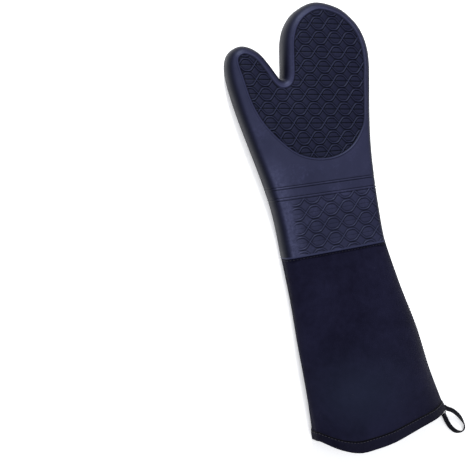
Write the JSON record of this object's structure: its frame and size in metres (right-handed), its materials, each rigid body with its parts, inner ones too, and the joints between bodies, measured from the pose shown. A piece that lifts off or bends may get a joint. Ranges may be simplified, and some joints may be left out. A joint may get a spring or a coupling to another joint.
{
  "type": "heat resistant glove",
  "caption": "Elbow-length oven mitt: textured silicone hand and forearm over a quilted liner, flaring canvas sleeve with a bound mouth and a hanging loop.",
  "frame": {"origin": "bottom centre of the whole glove's box, on the surface that the back of the hand lies on", "axes": "+Y to the fingertips, thumb on the -X side, +Z out of the palm"},
  "size_m": [0.2622, 0.5802, 0.0479],
  "materials": {
    "silicone": "matt moulded silicone, navy black",
    "canvas": "dark twill canvas",
    "canvas_binding": "dark twill canvas, folded over the hem",
    "lining": "dark plain woven lining",
    "cotton": "undyed quilted cotton",
    "wadding": "white needled wadding",
    "thread": "dark polyester thread",
    "tape": "black woven tape"
  },
  "bodies": {
    "hand": {"shell_hand": "silicone", "shell_knuckle_bend": "silicone", "shell_thumb_bend": "silicone", "shell_wrist_bend": "silicone", "wadding_palm": "wadding", "wadding_back": "wadding", "cotton_palm": "cotton", "cotton_back": "cotton"},
    "fingers": {"shell_fingers": "silicone"},
    "thumb": {"shell_thumb": "silicone"},
    "forearm": {"shell_forearm": "silicone", "sleeve_fold": "canvas", "rim_stitch": "thread"},
    "sleeve": {"sleeve_palm": "canvas", "sleeve_back": "canvas", "sleeve_lining_palm": "lining", "sleeve_lining_back": "lining", "mouth_binding": "canvas_binding", "hem_stitch": "thread", "side_stitch_thumb": "thread", "side_stitch_little": "thread", "loop_tack": "thread"},
    "loop": {"hanging_loop": "tape"}
  },
  "joints": [
    {"name": "fingers_flex", "type": "hinge", "parent": "hand", "child": "fingers", "pos_m": [-0.0044, 0.21409, 0.018], "axis": [1, 0, 0], "range_deg": [0, 60], "stiffness_Nm_per_rad": 0.6, "deforming": ["shell_knuckle_bend", "wadding_palm", "cotton_palm"]},
    {"name": "thumb_flex", "type": "hinge", "parent": "hand", "child": "thumb", "pos_m": [-0.09231, 0.17188, 0.018], "axis": [0.5545, 0.8322, 0], "range_deg": [0, 40], "stiffness_Nm_per_rad": 0.4, "deforming": ["shell_thumb_bend"]},
    {"name": "wrist_flex", "type": "hinge", "parent": "hand", "child": "forearm", "pos_m": [-0.0324, 0.08559, 0.018], "axis": [-1, 0, 0], "range_deg": [-30, 45], "stiffness_Nm_per_rad": 0.8, "deforming": ["shell_wrist_bend", "wadding_back", "cotton_back"]},
    {"name": "sleeve_fold", "type": "hinge", "parent": "forearm", "child": "sleeve", "pos_m": [-0.0254, -0.02291, 0.018], "axis": [-1, 0, 0], "range_deg": [-45, 45], "deforming": ["sleeve_fold", "sleeve_lining_palm", "sleeve_lining_back"]},
    {"name": "loop_swing", "type": "hinge", "parent": "sleeve", "child": "loop", "pos_m": [0.102, -0.25631, 0.0073], "axis": [-0.287, -0.9579, 0], "range_deg": [-70, 110]}
  ]
}
